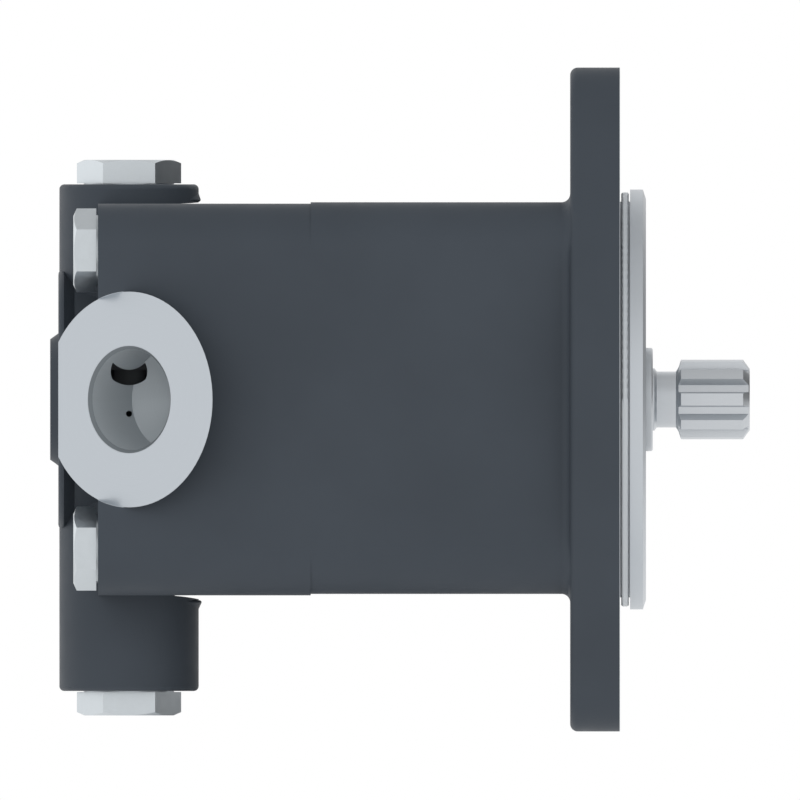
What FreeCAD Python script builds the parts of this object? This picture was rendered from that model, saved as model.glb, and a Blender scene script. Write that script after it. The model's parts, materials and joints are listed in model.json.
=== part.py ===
import FreeCAD, Part
import math
import os
import re
import Sketcher

# A two-bolt flange hydraulic vane pump, in millimetres.
# The origin is the centre of the mounting face, on the shaft's axis. +X points out along the shaft,
# +Z points up along the valve tower, and the inlet port looks towards -Y.

Vector = FreeCAD.Vector

SIZES = {
    # mounting flange and pilot
    "flange_thickness": 9.8,
    "flange_height": 130.5,
    "flange_half_width": 46.0,
    "flange_side_radius": 87.0,
    "flange_side_slope": 26.0,
    "flange_corner_radius": 11.0,
    "flange_edge_rounding": 1.5,
    "flange_root_rounding": 1.7,
    "flange_bolt_inset": 12.05,
    "flange_hole_diameter": 11.1,
    "pilot_diameter": 82.55,
    "pilot_length": 5.1,
    "pilot_chamfer_length": 0.6,
    "pilot_chamfer_depth": 1.9,
    "pilot_groove_width": 1.97,
    "pilot_groove_diameter": 77.8,
    "pilot_ring_diameter": 81.4,
    "pilot_ring_width": 1.5,
    "pilot_ring_rounding": 0.45,
    "pilot_relief_diameter": 83.2,
    "pilot_relief_depth": 0.3,
    # housings: section shared by both castings, and their lengths
    "screw_wall": 1.62,
    "section_corner_radius": 9.2,
    "front_housing_rise": 0.28,
    "joint_distance": 60.8,
    "rear_face_offset": 6.1,
    "rear_boss_overhang": 0.2,
    "rear_boss_diameter": 51.2,
    "rear_boss_neck_diameter": 47.0,
    "rear_boss_rounding": 1.1,
    "rear_boss_cone_length": 2.1,
    "hub_pad_height": 1.6,
    "hub_pad_base_diameter": 26.0,
    "hub_pad_top_diameter": 23.7,
    # valve tower
    "tower_wall": 8.35,
    "tower_diameter": 27.4,
    "tower_rise": 3.8,
    "tower_drop": 18.8,
    "tower_rounding": 1.0,
    "lip_inset": 2.2,
    "lip_sink": 0.1,
    "lip_core_diameter": 18.0,
    "lip_core_depth": 2.5,
    "lip_slit_radius": 39.0,
    "lip_spare": 1.0,
    "lip_height": 1.5,
    "lip_rounding": 0.45,
    "top_lip_reach": 9.2,
    "top_lip_gap": 0.35,
    "top_lip_growth": 0.4,
    "bottom_lip_reach": 4.1,
    "bottom_lip_gap": 0.95,
    "bottom_lip_growth": 0.58,
    # inlet port, on a boss whose face is turned to the rear
    "inlet_boss_diameter": 42.4,
    "inlet_turn": 39.3,
    "inlet_boss_rise": 1.0,
    "inlet_boss_depth": 36.0,
    "inlet_bore_diameter": 19.8,
    "inlet_mouth_diameter": 21.2,
    "inlet_bore_depth": 13.0,
    "bypass_height": 5.5,
    "bypass_diameter": 7.2,
    "sense_hole_drop": 2.8,
    "sense_hole_diameter": 1.2,
    # outlet port, on the far side
    "outlet_offset": 12.5,
    "outlet_boss_diameter": 30.0,
    "outlet_boss_height": 1.5,
    "outlet_bore_diameter": 17.5,
    "outlet_mouth_diameter": 19.0,
    "outlet_bore_depth": 16.0,
    "drill_point_angle": 59.0,
    "outlet_passage_diameter": 6.0,
    "outlet_passage_inset": 4.05,
    "signal_passage_diameter": 5.0,
    "signal_passage_height": 18.0,
    # hexagon screws that hold the two castings together
    "screw_diameter": 9.5,
    "screw_length": 61.0,
    "screw_head_corners": 16.5,
    "screw_head_height": 4.85,
    "screw_collar_height": 0.35,
    "screw_collar_diameter": 13.9,
    "screw_hole_play": 0.25,
    "screw_thread_play": 0.04,
    "screw_hole_spare": 4.0,
    "hexagon_bevel": 0.75,
    "hexagon_bevel_angle": 24.0,
    "bevel_spare": 0.2,
    # cartridge: side plate, cam ring, pressure plate, rotor and vanes
    "cartridge_diameter": 62.0,
    "cartridge_play": 0.05,
    "cartridge_front_distance": 36.0,
    "side_plate_thickness": 6.0,
    "cam_ring_thickness": 18.0,
    "pressure_plate_thickness": 10.0,
    "cam_ring_wall": 10.0,
    "cam_lift": 2.2,
    "cam_turn": 18.0,
    "rotor_gap": 0.4,
    "rotor_end_play": 0.02,
    "vane_count": 10,
    "vane_thickness": 1.6,
    "vane_inner_radius": 12.9,
    "vane_tip_gap": 0.1,
    "vane_tip_crown": 1.4,
    "vane_play": 0.02,
    "vane_relief_diameter": 2.6,
    "kidney_inward": 2.5,
    "kidney_outward": 1.5,
    "kidney_span": 44.0,
    "dowel_diameter": 4.0,
    "dowel_inset": 4.0,
    "dowel_reach": 3.0,
    "dowel_play": 0.04,
    "plate_ring_groove_width": 2.2,
    "plate_ring_groove_depth": 1.6,
    "o_ring_play": 0.02,
    "plate_spring_inset": 10.0,
    "plate_spring_width": 8.0,
    "plate_spring_thickness": 0.9,
    "plate_spring_play": 0.05,
    "pressure_chamber_depth": 3.9,
    "joint_ring_wall": 1.95,
    "joint_ring_section": 1.8,
    # drive shaft
    "seal_land_diameter": 20.3,
    "seal_land_front": 6.45,
    "seal_land_bevel": 0.25,
    "neck_flare_diameter": 12.3,
    "neck_flare_end": 6.75,
    "neck_diameter": 11.0,
    "spline_start": 11.5,
    "shaft_front": 25.5,
    "spline_outer_diameter": 15.65,
    "spline_root_diameter": 12.6,
    "spline_teeth": 9,
    "spline_land": 2.4,
    "spline_flank_angle": 30.0,
    "spline_bevel_length": 1.3,
    "spline_bevel_depth": 1.8,
    "spline_run_in": 0.5,
    "shaft_body_diameter": 19.0,
    "rotor_spline_diameter": 17.0,
    "rotor_spline_root_diameter": 14.8,
    "rotor_spline_teeth": 12,
    "rotor_spline_space": 2.1,
    "rotor_spline_play": 0.04,
    "rear_journal_diameter": 12.0,
    "plate_bore_play": 0.4,
    "rotor_spline_relief": 0.2,
    "shaft_end_gap": 0.4,
    "shaft_end_bevel": 0.6,
    # rear bush
    "bush_diameter": 18.0,
    "bush_length": 8.0,
    "bush_play": 0.03,
    "bush_seat_play": 0.01,
    # front ball bearing and its rings
    "bearing_bore": 20.0,
    "bearing_diameter": 42.0,
    "bearing_width": 12.0,
    "bearing_front_distance": 5.5,
    "bearing_seat_play": 0.01,
    "ball_count": 9,
    "ball_diameter": 6.35,
    "ball_play": 0.06,
    "race_shoulder_gap": 2.3,
    "cage_thickness": 1.6,
    "cage_width": 8.6,
    "cage_pocket_play": 0.08,
    "housing_clip_thickness": 1.6,
    "housing_clip_width": 3.0,
    "housing_clip_depth": 1.25,
    "shaft_clip_thickness": 1.2,
    "shaft_clip_width": 2.7,
    "shaft_clip_depth": 0.7,
    "clip_play": 0.05,
    "clip_gap_angle": 24.0,
    # shaft seal
    "seal_bore_diameter": 35.0,
    "seal_width": 7.0,
    "seal_front": 4.0,
    "seal_case_wall": 1.0,
    "seal_wall_bore_diameter": 28.0,
    "seal_lip_play": 0.02,
    "seal_lip_thickness": 1.4,
    "garter_diameter": 1.3,
    # flow valve
    "valve_bore_diameter": 12.5,
    "spool_play": 0.02,
    "spool_upper_groove_top": 24.0,
    "spool_upper_groove_bottom": 12.0,
    "spool_land_bottom": 5.8,
    "spool_waist_bottom": 3.5,
    "spool_bottom": 17.0,
    "spool_waist_diameter": 7.0,
    "spool_edge_bevel": 0.4,
    "relief_bore_diameter": 5.2,
    "relief_bore_top": 1.0,
    "relief_ball_diameter": 3.4,
    "relief_plug_length": 3.5,
    "relief_plug_play": 0.02,
    "relief_seat_hole_diameter": 2.0,
    "relief_spring_wire": 0.6,
    "spool_spring_wire": 1.2,
    "spool_spring_diameter": 10.4,
    "spool_spring_turns": 7,
    "relief_spring_turns": 4,
    "spring_end_play": 0.05,
    # valve plugs
    "plug_thread_diameter": 14.0,
    "plug_thread_length": 11.0,
    "plug_thread_play": 0.04,
    "plug_head_corners": 20.5,
    "plug_head_height": 4.8,
    "plug_collar_height": 0.18,
    "plug_thread_spare": 1.0,
    "plug_ring_section": 1.6,
}

# Places and sizes worked out from those above, under names that formulas may use. Places along the
# shaft are counted from the mounting face, towards the splined end.

DERIVED = {
    # along the shaft
    "flange_bolt_spacing": "flange_height - 2 * flange_bolt_inset",
    "bearing_front": "-bearing_front_distance",
    "bearing_rear": "bearing_front - bearing_width",
    "clip_front": "bearing_rear - clip_play",
    "ball_circle_radius": "(bearing_bore + bearing_diameter) / 4",
    "side_plate_front": "-cartridge_front_distance",
    "cam_front": "side_plate_front - side_plate_thickness",
    "cam_rear": "cam_front - cam_ring_thickness",
    "rotor_width": "cam_ring_thickness - 2 * rotor_end_play",
    "rotor_spline_rear": "cam_rear + rotor_spline_relief",
    "pressure_plate_rear": "cam_rear - pressure_plate_thickness",
    "chamber_rear": "pressure_plate_rear - pressure_chamber_depth",
    "bush_rear": "chamber_rear - bush_length",
    "tower_distance": "tower_wall + valve_bore_diameter / 2 - bush_rear",
    "rear_face_distance": "tower_distance + rear_face_offset",
    "rear_boss_distance": "tower_distance + tower_diameter / 2 + rear_boss_overhang",
    "outlet_distance": "tower_distance - outlet_offset",
    # about the shaft
    "cavity_radius": "cartridge_diameter / 2 + cartridge_play",
    "joint_ring_radius": "cavity_radius + joint_ring_wall + joint_ring_section / 2",
    "joint_ring_outside": "joint_ring_radius + joint_ring_section / 2 + o_ring_play",
    "screw_hole_diameter": "screw_diameter + 2 * screw_hole_play",
    "bolt_offset": "(joint_ring_outside + screw_wall + screw_hole_diameter / 2) * cos(45)",
    "section_half": "bolt_offset + section_corner_radius",
    "tower_top": "section_half + tower_rise",
    "tower_bottom": "section_half + tower_drop",
    "inlet_face_offset": "section_half + inlet_boss_rise",
    "outlet_passage_offset": "cavity_radius - outlet_passage_inset",
    "cam_small_radius": "cartridge_diameter / 2 - cam_ring_wall",
    "rotor_diameter": "2 * (cam_small_radius - rotor_gap)",
    "vane_tip_radius": "cam_small_radius - vane_tip_gap",
    "kidney_inner_radius": "cam_small_radius - kidney_inward",
    "kidney_outer_radius": "cam_small_radius + kidney_outward",
    "dowel_circle_radius": "cartridge_diameter / 2 - dowel_inset",
    "plate_spring_outer_radius": "cartridge_diameter / 2 - plate_spring_inset",
    "plate_spring_inner_radius": "plate_spring_outer_radius - plate_spring_width",
}

# Run the sizes into the sheet and name its cells

doc = FreeCAD.newDocument("vane_pump")
sheet = doc.addObject("Spreadsheet::Sheet", "Sizes")
for row, (alias, number) in enumerate(SIZES.items(), start=1):
    sheet.set(f"A{row}", alias.replace("_", " "))
    sheet.set(f"B{row}", str(number))
    sheet.setAlias(f"B{row}", alias)
doc.recompute()

nodes = []


def formula(text):
    """The text with each size's name pointed at its cell, and each derived name written out."""
    def meaning(word):
        name = word[0]
        if name in DERIVED:
            return f"({formula(DERIVED[name])})"
        return f"Sizes.{name}" if name in SIZES else name

    return re.sub(r"[a-z]\w+", meaning, str(text))


def value(text):
    """What a formula comes to with the sheet's sizes."""
    return float(sheet.evalExpression(formula(text)))


def bind(thing, formulas):
    """Tie properties of an object to formulas of the sizes."""
    for path, text in formulas.items():
        thing.setExpression(path, formula(text))


def as_node(thing, label):
    """Count an object as one piece of the pump, under its own name."""
    thing.Label = label
    nodes.append(thing)
    return thing


def new_body(label):
    return as_node(doc.addObject("PartDesign::Body", label), label)


def sketch_on(body, name, plane, along="0", across="0", up="0", turn="0", hinge=(0, 0, 1)):
    """Empty sketch on an origin plane, shifted in the plane by along and across, off it by up, and
    turned about a line of its own."""
    sketch = body.newObject("Sketcher::SketchObject", name)
    base = next(item for item in body.Origin.OriginFeatures if item.Role == plane)
    sketch.AttachmentSupport = [(base, "")]
    sketch.MapMode = "FlatFace"
    spot = Vector(value(along), value(across), value(up))
    sketch.AttachmentOffset = FreeCAD.Placement(spot, FreeCAD.Rotation(Vector(*hinge), value(turn)))
    bind(sketch, {
        "AttachmentOffset.Base.x": along,
        "AttachmentOffset.Base.y": across,
        "AttachmentOffset.Base.z": up,
    })
    if value(turn) > 0:
        bind(sketch, {"AttachmentOffset.Rotation.Angle": turn})
    return sketch


def arc_between(start, stop, radius):
    """Arc that turns left from start to stop for a positive radius, and right for a negative one."""
    chord = stop - start
    half = chord.Length / 2
    left = Vector(-chord.y, chord.x, 0).normalize()
    rise = math.sqrt(max(radius * radius - half * half, 0.0))
    centre = (start + stop) / 2 + left * math.copysign(rise, radius)
    first, last = (start, stop) if radius > 0 else (stop, start)
    begin = math.atan2(first.y - centre.y, first.x - centre.x)
    end = math.atan2(last.y - centre.y, last.x - centre.x)
    if end <= begin:
        end += 2 * math.pi
    return Part.ArcOfCircle(Part.Circle(centre, Vector(0, 0, 1), abs(radius)), begin, end)


def draw_loop(sketch, corners):
    """Closed line through corners (u, v), each a formula. A third entry makes the run to the next
    corner an arc of that radius."""
    spots = [Vector(value(corner[0]), value(corner[1]), 0) for corner in corners]
    first = sketch.GeometryCount
    runs = []
    heads = []
    for index, corner in enumerate(corners):
        after = spots[(index + 1) % len(spots)]
        if len(corner) == 3:
            radius = value(corner[2])
            runs.append(arc_between(spots[index], after, radius))
            heads.append((first + index, 1 if radius > 0 else 2, 2 if radius > 0 else 1))
        else:
            runs.append(Part.LineSegment(spots[index], after))
            heads.append((first + index, 1, 2))
    sketch.addGeometry(runs, False)
    for index, corner in enumerate(corners):
        run, start, _ = heads[index]
        before, _, stop = heads[index - 1]
        sketch.addConstraint(Sketcher.Constraint("Coincident", before, stop, run, start))
        pins = [
            (Sketcher.Constraint("DistanceX", -1, 1, run, start, spots[index].x), corner[0]),
            (Sketcher.Constraint("DistanceY", -1, 1, run, start, spots[index].y), corner[1]),
        ]
        if len(corner) == 3:
            pins.append((Sketcher.Constraint("Radius", run, abs(value(corner[2]))), f"abs({corner[2]})"))
        fix(sketch, pins)


def fix(sketch, pins):
    """Add constraints, each tied to its formula."""
    for constraint, text in pins:
        bind(sketch, {f"Constraints[{sketch.addConstraint(constraint)}]": text})


def draw_circle(sketch, diameter, along="0", across="0"):
    """Circle of a given diameter about a point of the sketch."""
    centre = Vector(value(along), value(across), 0)
    circle = sketch.addGeometry(Part.Circle(centre, Vector(0, 0, 1), value(diameter) / 2), False)
    fix(sketch, [
        (Sketcher.Constraint("DistanceX", -1, 1, circle, 3, centre.x), along),
        (Sketcher.Constraint("DistanceY", -1, 1, circle, 3, centre.y), across),
        (Sketcher.Constraint("Diameter", circle, value(diameter)), diameter),
    ])


def draw_box(sketch, left, bottom, right, top):
    """Upright rectangle between two corners."""
    draw_loop(sketch, [(left, bottom), (right, bottom), (right, top), (left, top)])


def draw_hexagon(sketch, corners_size, first_angle):
    """Regular hexagon about the sketch's origin, with a corner at the first angle."""
    radius = f"{corners_size} / 2"
    turns = [f"({first_angle} + {60 * side})" for side in range(6)]
    draw_loop(sketch, [(f"{radius} * cos({turn})", f"{radius} * sin({turn})") for turn in turns])


def pad(body, name, sketch, length):
    """Push the sketch out along its normal."""
    feature = body.newObject("PartDesign::Pad", name)
    feature.Profile = sketch
    bind(feature, {"Length": length})
    doc.recompute()
    return feature


def pocket(body, name, sketch, length=None, outward=False):
    """Cut the sketch out against its normal, or along it, to a depth or right through."""
    before = body.Shape.Volume
    feature = body.newObject("PartDesign::Pocket", name)
    feature.Profile = sketch
    feature.Reversed = outward
    if length is None:
        feature.Type = "ThroughAll"
    else:
        bind(feature, {"Length": length})
    doc.recompute()
    check_cut(body, name, before)
    return feature


def revolve(body, name, sketch, axis="H_Axis"):
    """Turn the sketch about one of its own axes."""
    feature = body.newObject("PartDesign::Revolution", name)
    feature.Profile = sketch
    feature.ReferenceAxis = (sketch, [axis])
    doc.recompute()
    return feature


def groove(body, name, sketch, axis="H_Axis"):
    """Cut the sketch, turned about one of its own axes."""
    before = body.Shape.Volume
    feature = body.newObject("PartDesign::Groove", name)
    feature.Profile = sketch
    feature.ReferenceAxis = (sketch, [axis])
    doc.recompute()
    check_cut(body, name, before)
    return feature


def check_cut(body, name, before):
    """A cut that takes nothing away points the wrong way."""
    if body.Shape.Volume > before - 1e-6:
        raise ValueError(f"{body.Label}: {name} cuts nothing")


def repeat_round(body, name, feature, axis, count):
    """Copies of a feature spread evenly about one of the body's own axes."""
    pattern = body.newObject("PartDesign::PolarPattern", name)
    pattern.Originals = [feature]
    line = next(item for item in body.Origin.OriginFeatures if item.Role == axis)
    pattern.Axis = (line, [""])
    pattern.Angle = 360
    bind(pattern, {"Occurrences": count})
    body.Tip = pattern
    doc.recompute()
    return pattern


def round_edges(body, name, radius, wanted):
    """Fillet the edges that the test picks."""
    tip = body.Tip
    names = [f"Edge{index}" for index, edge in enumerate(tip.Shape.Edges, start=1) if wanted(edge)]
    feature = body.newObject("PartDesign::Fillet", name)
    feature.Base = (tip, names)
    bind(feature, {"Radius": radius})
    doc.recompute()
    return feature


def turned_piece(label, corners, along="0", axis="H_Axis"):
    """A round piece from half its section. About the shaft, corners are (x, radius); about the
    tower, they are (radius, z)."""
    body = new_body(label)
    half = sketch_on(body, f"{label}_half_section", "XZ_Plane", along=along)
    draw_loop(half, corners)
    revolve(body, f"{label}_turned", half, axis)
    return body


def group(label, members):
    """Loose solids of one kind that share a node."""
    bundle = doc.addObject("Part::Compound", label)
    bundle.Links = members
    return as_node(bundle, label)


def housing_section(sketch, rise="0"):
    """Square with corners rounded about the screws."""
    radius = "section_corner_radius"
    corners = [
        ("section_half", f"{rise} - bolt_offset"),
        ("section_half", f"{rise} + bolt_offset", radius),
        ("bolt_offset", f"{rise} + section_half"),
        ("-bolt_offset", f"{rise} + section_half", radius),
        ("-section_half", f"{rise} + bolt_offset"),
        ("-section_half", f"{rise} - bolt_offset", radius),
        ("-bolt_offset", f"{rise} - section_half"),
        ("bolt_offset", f"{rise} - section_half", radius),
    ]
    draw_loop(sketch, corners)


def screw_circles(sketch, diameter):
    """A circle at each of the four housing screws."""
    for side in ("", "-"):
        for level in ("", "-"):
            draw_circle(sketch, diameter, f"{side}bolt_offset", f"{level}bolt_offset")


def flange_outline(sketch):
    """Two-bolt flange: bulged sides, sloped shoulders and rounded flat ends."""
    side_centre = "(flange_half_width - flange_side_radius)"
    shoulder_y = f"({side_centre} + flange_side_radius * cos(flange_side_slope))"
    shoulder_z = "(flange_side_radius * sin(flange_side_slope))"
    corner_z = "(flange_height / 2 - flange_corner_radius)"
    reach = f"({side_centre} * cos(flange_side_slope) + flange_side_radius - flange_corner_radius)"
    corner_y = f"(({reach} - {corner_z} * sin(flange_side_slope)) / cos(flange_side_slope))"
    slope_y = f"({corner_y} + flange_corner_radius * cos(flange_side_slope))"
    slope_z = f"({corner_z} + flange_corner_radius * sin(flange_side_slope))"
    end = "(flange_height / 2)"
    corners = [
        (shoulder_y, f"-{shoulder_z}", "flange_side_radius"),
        (shoulder_y, shoulder_z),
        (slope_y, slope_z, "flange_corner_radius"),
        (corner_y, end),
        (f"-{corner_y}", end, "flange_corner_radius"),
        (f"-{slope_y}", slope_z),
        (f"-{shoulder_y}", shoulder_z, "flange_side_radius"),
        (f"-{shoulder_y}", f"-{shoulder_z}"),
        (f"-{slope_y}", f"-{slope_z}", "flange_corner_radius"),
        (f"-{corner_y}", f"-{end}"),
        (corner_y, f"-{end}", "flange_corner_radius"),
        (slope_y, f"-{slope_z}"),
    ]
    draw_loop(sketch, corners)


def front_housing():
    """Barrel, mounting flange and pilot in one casting, bored for seal, bearing and cartridge."""
    body = new_body("front_housing")
    barrel = sketch_on(body, "barrel_section", "YZ_Plane", up="-joint_distance")
    housing_section(barrel, "front_housing_rise")
    pad(body, "barrel", barrel, "joint_distance - flange_thickness / 2")
    flange = sketch_on(body, "flange_outline", "YZ_Plane", up="-flange_thickness")
    flange_outline(flange)
    pad(body, "flange", flange, "flange_thickness")
    flange_rear = -value("flange_thickness")
    reach = value("section_half") + value("flange_root_rounding")

    def on_flange_rear(edge):
        return edge.BoundBox.XLength < 1e-6 and abs(edge.BoundBox.XMin - flange_rear) < 1e-6

    def at_rim(edge):
        middle = edge.valueAt((edge.FirstParameter + edge.LastParameter) / 2)
        return on_flange_rear(edge) and max(abs(middle.y), abs(middle.z)) > reach

    def at_root(edge):
        return on_flange_rear(edge) and not at_rim(edge)

    round_edges(body, "flange_rear_edge", "flange_edge_rounding", at_rim)
    round_edges(body, "flange_root", "flange_root_rounding", at_root)
    pilot = sketch_on(body, "pilot_half_section", "XZ_Plane")
    draw_loop(pilot, [
        ("-flange_thickness / 2", "0"),
        ("pilot_length", "0"),
        ("pilot_length", "pilot_diameter / 2 - pilot_chamfer_depth"),
        ("pilot_length - pilot_chamfer_length", "pilot_diameter / 2"),
        ("pilot_groove_width", "pilot_diameter / 2"),
        ("pilot_groove_width", "pilot_groove_diameter / 2"),
        ("-flange_thickness / 2", "pilot_groove_diameter / 2"),
    ])
    revolve(body, "pilot", pilot)
    bores = sketch_on(body, "bore_half_section", "XZ_Plane")
    draw_loop(bores, [
        ("pilot_length", "0"),
        ("pilot_length", "seal_bore_diameter / 2"),
        ("seal_front - seal_width", "seal_bore_diameter / 2"),
        ("seal_front - seal_width", "seal_wall_bore_diameter / 2"),
        ("bearing_front", "seal_wall_bore_diameter / 2"),
        ("bearing_front", "bearing_diameter / 2"),
        ("bearing_rear", "bearing_diameter / 2"),
        ("bearing_rear", "bearing_diameter / 2 + housing_clip_depth"),
        ("clip_front - housing_clip_thickness - clip_play", "bearing_diameter / 2 + housing_clip_depth"),
        ("clip_front - housing_clip_thickness - clip_play", "bearing_diameter / 2"),
        ("side_plate_front", "bearing_diameter / 2"),
        ("side_plate_front", "cavity_radius"),
        ("-joint_distance", "cavity_radius"),
        ("-joint_distance", "0"),
    ])
    groove(body, "bores", bores)
    relief = sketch_on(body, "pilot_relief_half_section", "XZ_Plane")
    draw_box(relief, "-pilot_relief_depth", "pilot_groove_diameter / 2",
             "pilot_groove_width / 2", "pilot_relief_diameter / 2")
    groove(body, "pilot_relief", relief)
    holes = sketch_on(body, "flange_holes", "YZ_Plane")
    draw_circle(holes, "flange_hole_diameter", "0", "flange_bolt_spacing / 2")
    draw_circle(holes, "flange_hole_diameter", "0", "-flange_bolt_spacing / 2")
    pocket(body, "flange_bolt_holes", holes, "flange_thickness")
    floor = "(screw_length + screw_hole_spare - rear_face_distance)"
    tapped = sketch_on(body, "screw_holes", "YZ_Plane", up=floor)
    screw_circles(tapped, "screw_diameter + 2 * screw_thread_play")
    pocket(body, "tapped_holes", tapped, f"{floor} + joint_distance")
    seat = "side_plate_front + dowel_reach + dowel_play"
    dowels = sketch_on(body, "dowel_holes", "YZ_Plane", up=seat)
    for side in ("", "-"):
        draw_circle(dowels, "dowel_diameter + 2 * dowel_play", "0", f"{side}dowel_circle_radius")
    pocket(body, "dowel_seats", dowels, "dowel_reach + dowel_play")


def port_bore(body, name, distance, offset, heading, bore, mouth, depth):
    """Threaded port: countersunk mouth, round wall and the cone that the drill leaves. The heading
    is the angle of the way in, measured in plan from +X."""
    lead = f"({mouth} - {bore}) / 2"
    half = sketch_on(body, f"{name}_half_section", "XY_Plane", f"-{distance}", offset, turn=heading)
    draw_loop(half, [
        ("0", "0"),
        ("0", f"{mouth} / 2"),
        (lead, f"{bore} / 2"),
        (depth, f"{bore} / 2"),
        (f"{depth} + {bore} / 2 / tan(drill_point_angle)", "0"),
    ])
    groove(body, name, half)


def rear_housing():
    """Rear casting: block, round boss, valve tower, tilted inlet boss and outlet boss."""
    body = new_body("rear_housing")
    block = sketch_on(body, "block_section", "YZ_Plane", up="-rear_face_distance")
    housing_section(block)
    pad(body, "block", block, "rear_face_distance - joint_distance")
    tower = sketch_on(body, "tower_half_section", "XZ_Plane", along="-tower_distance")
    radius = "tower_diameter / 2"
    inset = "tower_diameter / 2 - tower_rounding"
    draw_loop(tower, [
        ("0", "-tower_bottom"),
        (inset, "-tower_bottom", "tower_rounding"),
        (radius, "tower_rounding - tower_bottom"),
        (radius, "tower_top - tower_rounding", "tower_rounding"),
        (inset, "tower_top"),
        ("0", "tower_top"),
    ])
    revolve(body, "tower", tower, "V_Axis")
    tower_lip(body, "top_lip", "")
    tower_lip(body, "bottom_lip", "-")
    inlet_boss(body)
    rear_boss(body)
    outlet_boss(body)
    rear_bores(body)
    valve_bore(body)


def loft(body, name, first, second, kind="Additive"):
    """Straight skin between two sketches, filled or cut away."""
    feature = body.newObject(f"PartDesign::{kind}Loft", name)
    feature.Profile, feature.Sections = first, [second]
    feature.Ruled = True
    doc.recompute()
    return feature


def tower_lip(body, name, side):
    """Lip of the tower over the block: it flares out towards the front, and a slit all round the
    tower's core parts it from the block."""
    away = side or "+"
    edge = f"({side}section_half)"
    near = f"({edge} {away} {name}_gap)"
    corner = f"({near} {away} lip_rounding)"
    root = f"({corner} {away} lip_height)"
    radius = "(tower_diameter / 2 - lip_inset)"
    round_corner = "-lip_rounding" if side else "lip_rounding"
    flare = sketch_on(body, f"{name}_half_section", "XZ_Plane",
                      along=f"lip_inset + {name}_growth - tower_distance")
    draw_loop(flare, [
        ("0", near),
        (f"{radius} - lip_rounding", near, round_corner),
        (radius, corner),
        (f"{radius} - {name}_growth - lip_sink", root),
        ("0", root),
    ])
    revolve(body, name, flare, "V_Axis")
    slit = sketch_on(body, f"{name}_slit_section", "XZ_Plane", along="-tower_distance",
                     up="-tower_diameter")
    draw_loop(slit, [
        (f"{name}_reach", edge, "-lip_slit_radius" if side else "lip_slit_radius"),
        ("tower_diameter / 2 + lip_spare", near),
        ("tower_diameter / 2 + lip_spare", edge),
    ])
    pocket(body, f"{name}_slit", slit, "2 * tower_diameter", outward=True)
    foot = "-section_half - lip_core_depth" if side else "section_half - lip_spare"
    core = sketch_on(body, f"{name}_core_outline", "XY_Plane", along="-tower_distance", up=foot)
    draw_circle(core, "lip_core_diameter")
    pad(body, f"{name}_core", core, "lip_core_depth + lip_spare")


def turned_face(body, name, up):
    """Circle of the inlet boss in a plane turned towards the rear."""
    ring = sketch_on(body, name, "XZ_Plane", "-tower_distance", "0", up, "inlet_turn", (0, -1, 0))
    draw_circle(ring, "inlet_boss_diameter")
    return ring


def inlet_boss(body):
    """Boss whose walls run straight in, with a round face turned towards the rear."""
    foot = turned_face(body, "inlet_foot", "inlet_face_offset - inlet_boss_depth")
    loft(body, "inlet_boss", turned_face(body, "inlet_face", "inlet_face_offset"), foot)
    room = turned_face(body, "inlet_room", "inlet_face_offset + inlet_boss_depth")
    loft(body, "inlet_facing", turned_face(body, "inlet_room_foot", "inlet_face_offset"), room, "Subtractive")
    rear_plane = sketch_on(body, "rear_plane", "YZ_Plane", up="-rear_boss_distance")
    reach = "2 * section_half"
    draw_box(rear_plane, f"-{reach}", f"-{reach}", reach, reach)
    pocket(body, "rear_facing", rear_plane)


def rear_boss(body):
    """Round boss behind the block, with the low pad at its centre."""
    half = sketch_on(body, "rear_boss_half_section", "XZ_Plane")
    radius = "rear_boss_diameter / 2"
    neck = "rear_boss_neck_diameter / 2"
    draw_loop(half, [
        ("rear_boss_rounding - rear_face_distance", "0"),
        ("rear_boss_rounding - rear_face_distance", neck),
        ("rear_boss_rounding + rear_boss_cone_length - rear_boss_distance", neck),
        ("rear_boss_rounding - rear_boss_distance", radius, "rear_boss_rounding"),
        ("-rear_boss_distance", f"{radius} - rear_boss_rounding"),
        ("-rear_boss_distance", "hub_pad_base_diameter / 2"),
        ("-rear_boss_distance - hub_pad_height", "hub_pad_top_diameter / 2"),
        ("-rear_boss_distance - hub_pad_height", "0"),
    ])
    revolve(body, "rear_boss", half)


def outlet_boss(body):
    """Low round boss for the outlet port on the far side."""
    height = "-section_half - outlet_boss_height"
    face = sketch_on(body, "outlet_face", "XZ_Plane", "-outlet_distance", "0", height)
    draw_circle(face, "outlet_boss_diameter")
    pad(body, "outlet_boss", face, "2 * outlet_boss_height")


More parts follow.
